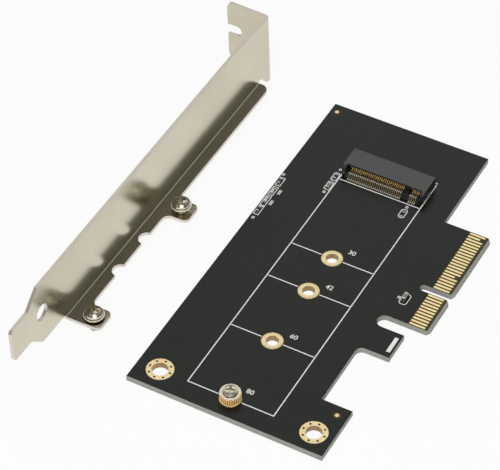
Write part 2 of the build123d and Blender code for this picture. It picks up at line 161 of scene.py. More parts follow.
def shown(name, shape, place=None, sharp=32):
    """The same, shaded smooth over its rounded edges while its flat faces stay flat."""
    piece = made(name, shape, place)
    piece.data.shade_smooth()
    piece.data.set_sharp_from_angle(angle=radians(sharp))
    flats = piece.modifiers.new("flat faces", "WEIGHTED_NORMAL")
    flats.keep_sharp = True
    return piece


def shape_of(holder):
    """The mesh that an object comes to, as a bmesh. The object itself is removed."""
    graph = bpy.context.evaluated_depsgraph_get()
    mesh = bpy.data.meshes.new_from_object(holder.evaluated_get(graph))
    shape = bmesh.new()
    shape.from_mesh(mesh)
    bpy.data.objects.remove(holder)
    bpy.data.meshes.remove(mesh)
    return shape


def drawn(curve):
    """The welded shape that a flat curve or a line of text fills."""
    holder = bpy.data.objects.new("drawn", curve)
    bpy.context.scene.collection.objects.link(holder)
    shape = shape_of(holder)
    bpy.data.curves.remove(curve)
    bmesh.ops.remove_doubles(shape, verts=shape.verts, dist=weld)
    return shape


def filled(loops, low, high, edge=0.0):
    """A flat solid between two heights from closed loops, holes among them."""
    curve = bpy.data.curves.new("loops", "CURVE")
    curve.dimensions = "2D"
    curve.fill_mode = "BOTH"
    curve.extrude = (high - low) / 2 - edge
    curve.bevel_depth = edge
    curve.bevel_resolution = 1
    curve.offset = -edge
    for loop in loops:
        spline = curve.splines.new("POLY")
        spline.points.add(len(loop) - 1)
        for point, (u, v) in zip(spline.points, loop):
            point.co = (u, v, 0, 1)
        spline.use_cyclic_u = True
    shape = drawn(curve)
    bmesh.ops.translate(shape, verts=shape.verts, vec=(0, 0, (low + high) / 2))
    return shape


def finish(name, colour, roughness, metallic=0.0, specular=0.5):
    """A new material with one plain colour to start from."""
    material = bpy.data.materials.new(name)
    material.use_nodes = True
    shader = material.node_tree.nodes["Principled BSDF"]
    shader.inputs["Base Color"].default_value = (*colour, 1)
    shader.inputs["Roughness"].default_value = roughness
    shader.inputs["Metallic"].default_value = metallic
    shader.inputs["Specular IOR Level"].default_value = specular
    return material


def feed(material, socket, value):
    """Links a node's output to a socket, or sets the socket to a plain value."""
    if isinstance(value, bpy.types.NodeSocket):
        material.node_tree.links.new(value, socket)
    else:
        socket.default_value = value


def node(material, kind, **values):
    """A new node in a material, with its settings and inputs given by name."""
    fresh = material.node_tree.nodes.new(kind)
    for key, value in values.items():
        name = key.replace("_", " ")
        if name not in fresh.inputs and hasattr(fresh, key):
            setattr(fresh, key, value)
        else:
            feed(material, fresh.inputs[name], value)
    return fresh


def reckoned(material, operation, *terms, kind="ShaderNodeMath", output="Value"):
    """What an operation gives for its terms, each a plain value or an output."""
    fresh = node(material, kind, operation=operation)
    for socket, term in zip(fresh.inputs, terms):
        feed(material, socket, term)
    return fresh.outputs[output]


def on_object(material):
    """A point's place in the row's frame, in metres."""
    return node(material, "ShaderNodeTexCoord").outputs["Object"]


def part_of(material, vector, axis):
    """One of the three numbers of a place or a direction."""
    return node(material, "ShaderNodeSeparateXYZ", Vector=vector).outputs[axis]


def upward(material, normal="Normal"):
    """How far a surface faces up, from -1 to 1."""
    facing = node(material, "ShaderNodeNewGeometry").outputs[normal]
    return part_of(material, facing, "Z")


def grain(material, scale, detail=3.0, stretch=(1, 1, 1), roughness=0.55):
    """Noise that lies still on the object, with its scale in marks per millimetre."""
    stretch_m = [s / mm for s in stretch]
    sized = node(material, "ShaderNodeMapping", Vector=on_object(material), Scale=stretch_m)
    return node(
        material,
        "ShaderNodeTexNoise",
        Vector=sized.outputs["Vector"],
        Scale=scale,
        Detail=detail,
        Roughness=roughness,
    ).outputs["Fac"]


def ramp(material, factor, colours, places=(0.3, 0.7)):
    """Colours set along a factor, each at its place from 0 to 1."""
    fresh = node(material, "ShaderNodeValToRGB", Fac=factor)
    elements = fresh.color_ramp.elements
    while len(elements) < len(colours):
        elements.new(0.5)
    for element, place, colour in zip(elements, places, colours):
        element.position = place
        element.color = (*colour, 1)
    return fresh.outputs["Color"]


def mixed(material, share, first, second):
    """The first colour where the share is 0, and the second where it is 1."""
    fresh = node(material, "ShaderNodeMix", data_type="RGBA", Factor=share)
    feed(material, fresh.inputs[6], first)
    feed(material, fresh.inputs[7], second)
    return fresh.outputs[2]


def spread(material, factor, low, high, least=0.3, most=0.7):
    """A factor stretched to run between two values."""
    return node(
        material,
        "ShaderNodeMapRange",
        Value=factor,
        From_Min=least,
        From_Max=most,
        To_Min=low,
        To_Max=high,
    ).outputs["Result"]


def link(material, output, socket):
    """Links an output to the finish itself."""
    shader = material.node_tree.nodes["Principled BSDF"]
    material.node_tree.links.new(output, shader.inputs[socket])


def polish(material, factor, low, high):
    """Lets the surface's roughness run between two values along a factor."""
    link(material, spread(material, factor, low, high), "Roughness")


def relief(material, height, depth, strength):
    """Small bumps, with their depth in millimetres."""
    bump = node(material, "ShaderNodeBump", Height=height, Strength=strength, Distance=depth * mm)
    link(material, bump.outputs["Normal"], "Normal")


def dress(piece, material, slot, *stands_for):
    """Puts a finish on a piece, and fixes it to the object in place of CAD nodes."""
    piece.data.materials.clear()
    piece.data.materials.append(material)
    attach(piece, "root")
    if stands_for:
        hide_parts(*stands_for)


laminate = finish("laminate", (0.40, 0.40, 0.37), 0.6)
cloth = grain(laminate, 0.9, 3.0, (1, 1, 9))
side_colours = [(0.245, 0.245, 0.225), (0.325, 0.325, 0.302), (0.40, 0.40, 0.372)]
side_colour = ramp(laminate, cloth, side_colours, (0.3, 0.5, 0.7))
# The faces are painted dark brown, a painted reflection like that seen between the fingers, while
# the cut edges keep the pale cloth.
face_reflection_brown = (0.05, 0.032, 0.009, 1)
flatness = reckoned(laminate, "ABSOLUTE", upward(laminate, "True Normal"))
on_face = spread(laminate, flatness, 0, 1, 0.96, 0.985)
link(laminate, mixed(laminate, on_face, side_colour, face_reflection_brown), "Base Color")
polish(laminate, cloth, 0.5, 0.7)
relief(laminate, cloth, 0.01, 0.5)

peg_holes = [circle(peg_u, way * peg_v, peg_hole_r, 24) for way in (1, -1)]
core = filled(
    [
        without_doubles(card_outline(block_tip, tip_corner)),
        *[circle(u, 0, drive_hole_r + wall_t) for u in drive_holes.values()],
        *[circle(*spot, mount_hole_r + wall_t) for spot in mount_spots.values()],
        *peg_holes,
    ],
    mask_t,
    board_t - mask_t,
    routed_edge,
)
everything = [*core.verts, *core.edges, *core.faces]
bevel_line = block_tip + bevel_len
bmesh.ops.bisect_plane(
    core, geom=everything, plane_co=(0, bevel_line, 0), plane_no=(0, 1, 0), dist=weld
)
for vertex in core.verts:
    reach = bevel_line - vertex.co.y
    if reach > 0:
        way = 1 if vertex.co.z < board_t / 2 else -1
        vertex.co.z += way * bevel_t * reach / bevel_len
dress(shown("card_laminate", core), laminate, "solder_mask", "pcb")

# Solder mask
# A satin black lacquer on both faces, printed over the copper. It stops a little short of
# the routed edge, and is open round the fingers, the plated rings and the fiducials.
mask_margin = 0.1
window_edge = -25.0
no_corner = 0.001
drive_ring_r = 2.6
mount_ring_r = 3.25
ring_window = 0.1
fiducial_spots = [(7.0, -23.3), (96.1, 22.3)]
fiducial_window_r = 1.1


def inset(points, distance):
    """The same outline moved inwards. The outline runs anticlockwise."""
    moved = []
    for i, here in enumerate(points):
        before = Vector(here) - Vector(points[i - 1])
        after = Vector(points[(i + 1) % len(points)]) - Vector(here)
        a = Vector((-before.y, before.x)).normalized()
        b = Vector((-after.y, after.x)).normalized()
        middle = (a + b) / (1 + a.dot(b))
        moved.append(tuple(Vector(here) + middle * distance))
    return moved


def tint(material, factor, colours, places=(0.3, 0.7)):
    """Lets the surface's colour vary along a factor."""
    link(material, ramp(material, factor, colours, places), "Base Color")


mask = finish("solder_mask", (0.004, 0.0045, 0.004), 0.3, specular=0.3)
mask_colours = [(0.0035, 0.0055, 0.0035), (0.0050, 0.0075, 0.0050)]
tint(mask, grain(mask, 0.35, 4.0), mask_colours, (0.35, 0.65))
polish(mask, grain(mask, 1.5, 5.0), 0.26, 0.34)
relief(mask, grain(mask, 2.5, 5.0), 0.004, 0.5)

mask_outline = inset(without_doubles(card_outline(window_edge, no_corner)), mask_margin)
mask_back = [
    mask_outline,
    *[circle(u, 0, drive_ring_r + ring_window) for u in drive_holes.values()],
    *[circle(*spot, mount_ring_r + ring_window) for spot in mount_spots.values()],
    *peg_holes,
]
mask_front = [*mask_back, *[circle(*spot, fiducial_window_r, 32) for spot in fiducial_spots]]
for side, loops, low in (("front", mask_front, board_t - mask_t), ("back", mask_back, 0)):
    coat = filled(loops, low, low + mask_t)
    dress(shown(f"solder_mask_{side}", coat), mask, "solder_mask")

# Gold fingers
# Copper pads with hard gold plating, one for each contact of the card slot, on a pitch of
# 1 mm. A few are shorter at the tip, so that they touch last.
finger_first = 40.15
finger_pitch = 1.0
fingers_before_key = 11
fingers_skipped = 2
fingers_total = 32
finger_w = 0.68
finger_inner = -25.1
finger_outer = -29.2
finger_short = 1.0
finger_end_r = 0.3
finger_edge = 0.01
finger_dark_w = 0.09


def finger_loop(u, outer):
    """A pad with rounded ends."""
    left, right = u - finger_w / 2 + finger_end_r, u + finger_w / 2 - finger_end_r
    low, high = outer + finger_end_r, finger_inner - finger_end_r
    loop = []
    for i, middle in enumerate(((right, high), (left, high), (left, low), (right, low))):
        loop += arc(middle, finger_end_r, i * 90, i * 90 + 90, 5)
    return loop


gold = finish("finger_gold", (1.0, 0.80, 0.42), 0.28, metallic=1.0)
rub = grain(gold, 1.2, 3.0, (1.0, 0.25, 1.0))
rubbed = ramp(gold, rub, [(0.96, 0.78, 0.36), (1.0, 0.90, 0.54)])
# Each pad is painted dark brown along both long sides, as painted shade at its edges; its middle
# keeps the rubbed gold.
painted_side_shade = (0.42, 0.25, 0.07, 1)
along = part_of(gold, on_object(gold), "X")
first_place = 0.5 - (card_x + finger_first) / finger_pitch
pitches = reckoned(gold, "MULTIPLY_ADD", along, 1 / (finger_pitch * mm), first_place)
across = reckoned(gold, "FRACT", pitches)
on_pad = reckoned(gold, "COMPARE", across, 0.5, finger_w / 2 - finger_dark_w)
link(gold, mixed(gold, on_pad, painted_side_shade, rubbed), "Base Color")
polish(gold, grain(gold, 5.0, 3.0, (1.0, 0.2, 1.0)), 0.2, 0.42)

for side, low, short in (("front", board_t - mask_t, (16, 30)), ("back", 0, (0,))):
    pads = []
    for i in range(fingers_total):
        skip = fingers_skipped if i >= fingers_before_key else 0
        u = finger_first + (i + skip) * finger_pitch
        pads.append(finger_loop(u, finger_outer + (finger_short if i in short else 0)))
    piece = shown(f"gold_fingers_{side}", filled(pads, low, low + mask_t, finger_edge))
    dress(piece, gold, "finger_gold", f"edge_contacts_{side}")

# Plated holes and mounting rings
# Drilled holes with a copper wall and a bare gold-washed ring on each face. A drive's post
# goes into one of the four in a row, and the bracket's screws go through the wide two.
lip = 0.05
ring_steps = 72
vias = 8
via_circle_r = (mount_hole_r + mount_ring_r) / 2
via_mouth_r = 0.29
via_mouth_t = 0.006

plating = finish("ring_plating", (0.94, 0.76, 0.42), 0.3, metallic=1.0)
wash = grain(plating, 1.6, 5.0)
ring_colours = [(0.90, 0.70, 0.36), (0.94, 0.78, 0.43), (0.98, 0.86, 0.58)]
ring_wash = ramp(plating, wash, ring_colours, (0.3, 0.55, 0.75))
# The hole walls are painted dark brown, as painted shade inside the holes; the flat rings keep
# the washed gold.
wall_painted_shade = ramp(plating, wash, [(0.26, 0.17, 0.08), (0.42, 0.29, 0.16)], (0.3, 0.75))
flatness = reckoned(plating, "ABSOLUTE", upward(plating, "True Normal"))
on_ring = spread(plating, flatness, 0, 1, 0.3, 0.8)
link(plating, mixed(plating, on_ring, wall_painted_shade, ring_wash), "Base Color")
polish(plating, grain(plating, 4.0, 4.0), 0.22, 0.5)
relief(plating, grain(plating, 3.0, 4.0), 0.01, 0.5)
# Painted shade for the mouths of the vias: a dark brown.
via_painted_shade = finish("via_painted_shade", (0.03, 0.014, 0.004), 0.6)
tint(via_painted_shade, grain(via_painted_shade, 6.0), [(0.02, 0.009, 0.002), (0.05, 0.024, 0.008)])


def turned(profile, steps, radius_at=None, closed=False):
    """A shape turned about Z from (radius, height) points, with its radius changed by angle."""
    shape = bmesh.new()
    rings = []
    for radius, height in profile:
        if radius == 0:
            rings.append([shape.verts.new((0, 0, height))] * steps)
            continue
        ring = []
        for i in range(steps):
            angle = tau * i / steps
            r = radius_at(radius, height, angle) if radius_at else radius
            ring.append(shape.verts.new((r * cos(angle), r * sin(angle), height)))
        rings.append(ring)
    pairs = list(zip(rings, rings[1:]))
    if closed:
        pairs.append((rings[-1], rings[0]))
    for low, high in pairs:
        for i in range(steps):
            j = (i + 1) % steps
            corners = []
            for vertex in (low[i], low[j], high[j], high[i]):
                if vertex not in corners:
                    corners.append(vertex)
            if len(corners) > 2:
                shape.faces.new(corners)
    return shape


def on_card(u, v, z=0.0):
    """The move that takes a shape to a place on the card."""
    return Matrix.Translation((card_x + u, card_y + v, z))


ring_profile = [
    (drive_hole_r, lip),
    (drive_hole_r, board_t - lip),
    (drive_hole_r + lip, board_t),
    (drive_ring_r - lip, board_t),
    (drive_ring_r, board_t - mask_t),
    (drive_hole_r + wall_t, board_t - mask_t),
    (drive_hole_r + wall_t, mask_t),
    (drive_ring_r, mask_t),
    (drive_ring_r - lip, 0),
    (drive_hole_r + lip, 0),
]
for name, u in drive_holes.items():
    ring_shape = turned(ring_profile, ring_steps, closed=True)
    piece = shown(f"drive_ring_{name}", ring_shape, on_card(u, 0))
    dress(piece, plating, "ring_plating", f"plated_hole_{name}")
for name in ("mounting_ring_left", "mounting_ring_right", "fiducials"):
    dress(nodes[name], plating, "ring_plating")

# Eight small vias stand in each wide ring; a thin dark disc on each paints the shade in its hole.
for side, (u, v) in mount_spots.items():
    via_spots = circle(u, v, via_circle_r, vias)
    mouths = [circle(*spot, via_mouth_r, 20) for spot in via_spots]
    low = board_t - via_mouth_t / 2
    piece = shown(f"via_mouths_{side}", filled(mouths, low, low + via_mouth_t))
    dress(piece, via_painted_shade, None)

# White print
# A thin white ink on the mask: the drive's outline with a line and a number for each
# length, boxes round the small parts, and a bar on the tab.
ink_t = 0.015
line_w = 0.27
thin_w = 0.19
drive_box_v = 11.0
box_far_left = 77.3
box_far_right = 84.7
box_line_far = 74.92
standoff_gap = 2.9
ring_gap = 0.2
mark_w = 0.55
mark_h = 0.5
tick_w = 0.4
tick_line_w = thin_w * 0.7
corner_box = (84.45, -10.6, 0.7, 0.8)
bar_box = (31.95, -24.8, 4.9, 0.95)
number_h = 1.9
number_bold = 0.02
number_spots = {
    "30": (53.15, -3.4),
    "42": (40.6, -3.85),
    "60": (22.75, -3.85),
    "80": (3.2, -3.0),
}
ink_boxes = [
    (67.15, 23.0, 3.0, 1.28, 0),
    (63.5, 23.0, 3.1, 1.28, 0),
    (59.7, 23.0, 3.6, 1.28, 0),
    (56.05, 23.0, 3.2, 1.28, 0),
    (75.1, 12.0, 2.9, 1.4, 0.3),
    (71.58, 12.0, 2.8, 1.4, 0),
    (71.5, -8.05, 3.1, 1.5, 0.45),
    (46.3, -20.95, 3.5, 1.9, 0.45),
]
ink_marks = [
    (69.8, 23.5),
    (53.2, 23.0),
    (77.9, 12.0),
    (69.15, 12.05),
    (73.9, -8.0),
    (46.2, -19.5),
]
ink_ticks = [(63.8, 21.4), (59.65, 21.5)]


def stroke(shape, points, width, closed=False):
    """A line of ink along points, with square ends and mitred corners."""
    count = len(points)
    low, high = board_t - mask_t / 2, board_t + ink_t
    rows = []
    for i, here in enumerate(points):
        here = Vector(here)
        before = here - Vector(points[i - 1]) if closed or i > 0 else None
        after = Vector(points[(i + 1) % count]) - here if closed or i < count - 1 else None
        a = (before or after).normalized()
        b = (after or before).normalized()
        aside = Vector((-a.y - b.y, a.x + b.x)) / (1 + a.dot(b)) * (width / 2)
        left, right = here + aside, here - aside
        corners = ((left, low), (left, high), (right, high), (right, low))
        rows.append([shape.verts.new((p.x, p.y, z)) for p, z in corners])
    pairs = list(zip(rows, rows[1:]))
    if closed:
        pairs.append((rows[-1], rows[0]))
    else:
        shape.faces.new(rows[0])
        shape.faces.new(rows[-1][::-1])
    for here, there in pairs:
        for i in range(4):
            j = (i + 1) % 4
            shape.faces.new((here[i], there[i], there[j], here[j]))


def box_points(u, v, length, width, cut=0.0):
    """Corners of a box round a place, cut off where a cut is given."""
    a, b = length / 2, width / 2
    if not cut:
        return [(u - a, v - b), (u + a, v - b), (u + a, v + b), (u - a, v + b)]
    return [
        (u - a + cut, v - b),
        (u + a - cut, v - b),
        (u + a, v - b + cut),
        (u + a, v + b - cut),
        (u + a - cut, v + b),
        (u - a + cut, v + b),
        (u - a, v + b - cut),
        (u - a, v - b + cut),
    ]


ink = finish("white_ink", (0.72, 0.72, 0.70), 0.6)
tint(ink, grain(ink, 3.0, 4.0), [(0.78, 0.79, 0.77), (0.92, 0.92, 0.90)], (0.3, 0.6))
relief(ink, grain(ink, 6.0), 0.004, 0.4)

lines = bmesh.new()
stroke(lines, [(box_far_left, drive_box_v), (0, drive_box_v), (0, standoff_gap)], line_w)
stroke(lines, [(0, -standoff_gap), (0, -drive_box_v), (box_far_right, -drive_box_v)], line_w)
line_end = drive_box_v - line_w
stroke(lines, [(box_line_far, line_end), (box_line_far, -line_end)], line_w)
for u in list(drive_holes.values())[1:]:
    for way in (1, -1):
        stroke(lines, [(u, way * line_end), (u, way * (drive_ring_r + ring_gap))], line_w)
for box in (corner_box, *ink_boxes):
    stroke(lines, box_points(*box), thin_w, closed=True)
for spot in ink_marks:
    stroke(lines, box_points(*spot, mark_w, mark_h), thin_w, closed=True)
for u, v in ink_ticks:
    for step in (-mark_w, 0.0, mark_w):
        stroke(lines, box_points(u + step, v, tick_w, mark_w), tick_line_w, closed=True)
dress(shown("print_lines", lines), ink, "solder_mask")
bar = filled([box_points(*bar_box)], board_t - mask_t / 2, board_t + ink_t)
dress(shown("print_bar", bar), ink, "solder_mask")

for text, (u, v) in number_spots.items():
    number = bpy.data.curves.new(f"number_{text}", "FONT")
    number.body = text
    number.size = number_h
    number.align_x = "CENTER"
    number.extrude = (ink_t + mask_t / 2) / 2
    number.offset = number_bold
    place = on_card(u, v, board_t + (ink_t - mask_t / 2) / 2) @ Matrix.Rotation(-pi / 2, 4, "Z")
    dress(shown(f"print_number_{text}", drawn(number), place), ink, "solder_mask")

# Drive socket
# A moulded block of black nylon, with a cavity for each spring contact. Pegs in two small
# holes place it, and its contacts and hold-downs are soldered to the board.
housing_edge = 0.04
contact_zone_u = 76.8
contact_zone_fade = 0.2
cad_weld = 0.002
cad_flat = 0.5

plastic = finish("socket_plastic", (0.013, 0.013, 0.014), 0.4, specular=1.0)
tint(plastic, grain(plastic, 0.5, 3.0), [(0.010, 0.010, 0.011), (0.017, 0.017, 0.018)])
polish(plastic, grain(plastic, 8.0), 0.32, 0.42)
relief(plastic, grain(plastic, 12.0, 2.0), 0.006, 0.5)
tin = finish("tin", (0.75, 0.75, 0.73), 0.35, metallic=1.0)
tint(tin, grain(tin, 3.0), [(0.62, 0.62, 0.60), (0.82, 0.82, 0.80)])
polish(tin, grain(tin, 5.0), 0.28, 0.5)


def outlined(source):
    """A copy of a CAD node in millimetres, with one face for each flat area."""
    shape = bmesh.new()
    shape.from_mesh(nodes[source].data)
    bmesh.ops.scale(shape, vec=(1 / mm, 1 / mm, 1 / mm), verts=shape.verts)
    bmesh.ops.remove_doubles(shape, verts=shape.verts, dist=cad_weld)
    bmesh.ops.dissolve_limit(
        shape,
        angle_limit=radians(cad_flat),
        verts=shape.verts,
        edges=shape.edges,
        use_dissolve_boundaries=False,
    )
    return shape


def rounded(shape, edges, size, segments, profile):
    """Rounds some of a shape's edges."""
    bmesh.ops.bevel(
        shape,
        geom=edges,
        offset=size,
        segments=segments,
        profile=profile,
        affect="EDGES",
        clamp_overlap=True,
    )


def softened(name, shape, edge, angle=40.0):
    """A shape with its sharp edges rounded, as a moulding or a pressing has them."""
    least = radians(angle)
    sharp = [e for e in shape.edges if e.is_manifold and e.calc_face_angle(0) > least]
    rounded(shape, sharp, edge, segments=2, profile=0.6)
    return shown(name, shape, Matrix.Identity(4))


housing = softened("socket_housing", outlined("m2_socket_housing"), housing_edge)
dress(housing, plastic, "socket_plastic", "m2_socket_housing")

# The springs have a richer gold where they touch the drive than on their tails.
zone_start = (card_x + contact_zone_u) * mm
zone_end = zone_start + contact_zone_fade * mm
for row, metal_share in (("lower", 0.5), ("upper", 0.15)):
    spring = finish(f"{row}_spring_gold", (1.0, 0.92, 0.74), 0.28, metallic=metal_share)
    wear = grain(spring, 2.0)
    # Painted shade: the colour darkens where a spring faces sideways or down and lightens where
    # it faces up, with a little random wear on top.
    wear_and_painted_shade = reckoned(spring, "MULTIPLY_ADD", wear, 0.3, upward(spring))
    pale = ramp(spring, wear_and_painted_shade, [(0.28, 0.20, 0.10), (1.0, 0.92, 0.74)], (0.45, 0.95))
    rich = ramp(spring, wear_and_painted_shade, [(1.0, 0.52, 0.14), (1.0, 0.72, 0.28)], (0.45, 0.95))
    along = part_of(spring, on_object(spring), "X")
    in_zone = spread(spring, along, 0, 1, zone_start, zone_end)
    link(spring, mixed(spring, in_zone, pale, rich), "Base Color")
    polish(spring, grain(spring, 6.0), 0.2, 0.36)
    dress(nodes[f"m2_{row}_contacts"], spring, "contact_gold")

for side in ("left", "right"):
    dress(nodes[f"m2_hold_down_{side}"], tin, "tin")

# Standoff
# A short brass post, turned and straight-knurled so that fingers can grip it. Its spigot
# sits in the 80 mm hole and its top carries the end of the drive.
post_low, post_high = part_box("standoff")
standoff_r = (post_high.x - post_low.x) / 2 / mm
standoff_h = post_high.z / mm - board_t
spigot_r = 1.4
spigot_len = board_t - post_low.z / mm
tapped_r = 1.0
knurl_teeth = 28
knurl_depth = 0.28
tooth_steps = 8
tooth_slope = 1.4
tooth_flat = 0.2
rim_h = 0.16
turned_edge = 0.1
foot_round = 0.05
foot_h = 0.04
knurl_step = 0.02
top_round = 0.06
top_lip = 0.25
hair = 0.01


def knurled(radius, height, angle):
    """The standoff's radius, cut back between the teeth of its knurl."""
    if radius < standoff_r - hair or not rim_h < height < standoff_h - rim_h / 2:
        return radius
    tooth = abs(((angle * knurl_teeth / tau) % 1) * 2 - 1)
    return radius - knurl_depth * min(1.0, max(0.0, tooth_slope * tooth - tooth_flat))


brass = finish("standoff_brass", (1.0, 0.72, 0.34), 0.3, metallic=0.15)
vectors = "ShaderNodeVectorMath"
axis = (card_x * mm, card_y * mm, 0)
level = reckoned(brass, "MULTIPLY", on_object(brass), (1, 1, 0), kind=vectors, output="Vector")
from_axis = reckoned(brass, "DISTANCE", level, axis, kind=vectors)
# Painted shade and highlight: the knurl's grooves are coloured dark brown and its crests pale
# gold, by their distance from the axis.
groove_floor, crest = (standoff_r - knurl_depth) * mm, standoff_r * mm
out_of_groove = spread(brass, from_axis, 0, 1, groove_floor, crest)
knurl_shade_and_highlight = [(0.50, 0.24, 0.05), (1.0, 0.60, 0.19), (1.0, 0.80, 0.42)]
tint(brass, out_of_groove, knurl_shade_and_highlight, (0.1, 0.5, 0.9))
polish(brass, grain(brass, 6.0, 3.0, (1, 1, 0.3)), 0.2, 0.38)

post_profile = [
    (tapped_r, -spigot_len),
    (spigot_r - turned_edge, -spigot_len),
    (spigot_r, turned_edge - spigot_len),
    (spigot_r, 0),
    (standoff_r - knurl_depth, 0),
    (standoff_r - foot_round, foot_h),
    (standoff_r, rim_h),
    (standoff_r, rim_h + knurl_step),
    (standoff_r, standoff_h / 2),
    (standoff_r, standoff_h - rim_h / 2 - knurl_step),
    (standoff_r - top_round, standoff_h - top_round),
    (standoff_r - top_lip, standoff_h),
    (tapped_r + turned_edge, standoff_h),
    (tapped_r, standoff_h - turned_edge),
]
post = turned(post_profile, knurl_teeth * tooth_steps, knurled, closed=True)
piece = shown("knurled_standoff", post, on_card(0, 0, board_t))
dress(piece, brass, "standoff_brass", "standoff")

# Screws
# Nickel-plated pan heads with a flange and a cross recess, pressed, then thread-rolled. One
# holds the drive on its standoff, and two stand part-way out of the bracket's ears.
drive_screw = {
    "flange_r": 2.45,
    "flange_t": 0.28,
    "head_r": 1.75,
    "side_h": 0.45,
    "head_h": 1.15,
    "shank_r": 0.95,
    "shank_len": 2.6,
    "pitch": 0.4,
}
thread_share = 0.5
thread_slope = 1.25
samples_per_turn = 10
screw_steps = 96
dome_steps = 8
recess_reach = 0.66
recess_wing = 0.17
recess_depth = 0.62
recess_taper = ((0.0, 1.0), (0.45, 0.8), (1.0, 0.36))
cutter_over = 0.5
wing_root = 0.9
wing_tip = 0.8
tip_chamfer = 0.1
thread_stop = 0.05
head_fillet = 0.06
head_ease = 0.05
shoulder_drop = 0.08
rim_low = 0.02

nickel = finish("screw_nickel", (0.74, 0.68, 0.53), 0.16, metallic=1.0)
tint(nickel, grain(nickel, 1.2), [(0.67, 0.61, 0.46), (0.81, 0.75, 0.60)])
polish(nickel, grain(nickel, 5.0), 0.1, 0.26)
relief(nickel, grain(nickel, 2.5), 0.01, 0.35)
# A painted highlight for the flange's rim: paler and less metallic than the head.
rim_painted_highlight = finish("screw_rim", (0.92, 0.86, 0.73), 0.3, metallic=0.45)
rim_wear = grain(rim_painted_highlight, 2.0)
tint(rim_painted_highlight, rim_wear, [(0.84, 0.77, 0.63), (0.96, 0.91, 0.80)])
polish(rim_painted_highlight, rim_wear, 0.24, 0.38)


def recess(reach, wing, depth, top):
    """The cutter of a cross recess: four tapered wings that narrow downwards."""
    shape = bmesh.new()
    rings = []
    levels = [(top + cutter_over, 1.0), *[(top - depth * d, s) for d, s in recess_taper]]
    root, tip = wing * wing_root, wing * wing_tip
    corners = ((wing, -root), (reach, -tip), (reach, tip))
    for height, scale in levels:
        ring = []
        for k in range(4):
            c, s = cos(k * pi / 2), sin(k * pi / 2)
            for a, b in corners:
                x, y = a * scale, b * scale
                ring.append(shape.verts.new((x * c - y * s, x * s + y * c, height)))
        rings.append(ring)
    for low, high in zip(rings, rings[1:]):
        for i in range(len(low)):
            j = (i + 1) % len(low)
            shape.faces.new((low[i], low[j], high[j], high[i]))
    shape.faces.new(rings[0])
    shape.faces.new(rings[-1])
    return shape


def screw_profile(flange_r, flange_t, head_r, side_h, head_h, shank_r, shank_len, pitch):
    """A screw's half section, from the middle of its tip to the middle of its head."""
    rise = head_h - flange_t - side_h
    dome_r = (head_r**2 + rise**2) / (2 * rise)
    rim = flange_t / 2
    samples = int(shank_len / pitch * samples_per_turn)
    length = shank_len - tip_chamfer
    profile = [(0, -shank_len), (shank_r - pitch * thread_share, -shank_len)]
    profile.append((shank_r - tip_chamfer, -length))
    profile += [(shank_r, -length + length * i / samples) for i in range(samples)]
    profile += [(shank_r, 0), (flange_r - rim * 0.5, 0)]
    for a in (-pi / 3, -pi / 8, pi / 8, pi / 3):
        profile.append((flange_r - rim + rim * cos(a), rim + rim * sin(a)))
    profile += [
        (flange_r - rim * 1.1, flange_t),
        (head_r + head_fillet, flange_t),
        (head_r, flange_t + head_ease),
        (head_r, flange_t + side_h - shoulder_drop),
        (head_r - head_ease, flange_t + side_h + head_ease),
    ]
    for i in range(1, dome_steps):
        r = (head_r - head_ease) * (1 - i / dome_steps)
        profile.append((r, head_h - dome_r + sqrt(dome_r**2 - r**2)))
    profile.append((0, head_h))
    return profile


def pan_screw(name, place, sizes, turn, stands_for):
    """A screw with its head's flange on z = 0 of its place and its thread below."""
    flange_r, head_r, head_h = sizes["flange_r"], sizes["head_r"], sizes["head_h"]
    shank_r, shank_len, pitch = sizes["shank_r"], sizes["shank_len"], sizes["pitch"]
    rim = sizes["flange_t"] / 2

    def threaded(radius, height, angle):
        if radius < shank_r - hair or not thread_stop - shank_len <= height <= -pitch:
            return radius
        phase = (height / pitch - angle / tau) % 1
        return radius - pitch * thread_share * min(1.0, abs(phase * 2 - 1) * thread_slope)

    body = turned(screw_profile(**sizes), screw_steps, threaded)
    cross = recess(head_r * recess_reach, head_r * recess_wing, head_h * recess_depth, head_h)
    in_mm = Matrix.Scale(1 / mm, 4)
    blank = made(name, body, in_mm)
    cutter = made("cutter", cross, in_mm)
    cut = blank.modifiers.new("recess", "BOOLEAN")
    cut.operation = "DIFFERENCE"
    cut.object = cutter
    shape = shape_of(blank)
    bpy.data.objects.remove(cutter)
    # The flange's rim gets a paler finish, duller than the head: a painted highlight.
    rim_faces = []
    for face in shape.faces:
        middle = face.calc_center_median()
        if middle.z > rim_low and middle.xy.length > flange_r - rim * 1.05:
            rim_faces.append(face.index)
    piece = shown(name, shape, place @ Matrix.Rotation(radians(turn), 4, "Z"))
    dress(piece, nickel, "screw_nickel", stands_for)
    piece.data.materials.append(rim_painted_highlight)
    for index in rim_faces:
        piece.data.polygons[index].material_index = 1


screw_place = on_card(0, 0, board_t + standoff_h)
pan_screw("drive_screw", screw_place, drive_screw, 20, "standoff_screw")

# Small parts
# Resistors and capacitors are tiny blocks of ceramic with tinned ends, and the lamps are
# white blocks under clear domes. Each is soldered on two lands of the board.
block_edge = 0.04
cap_edge = 0.05
lamp_edge = 0.03
dome_edge = 0.08
land_edge = 0.015

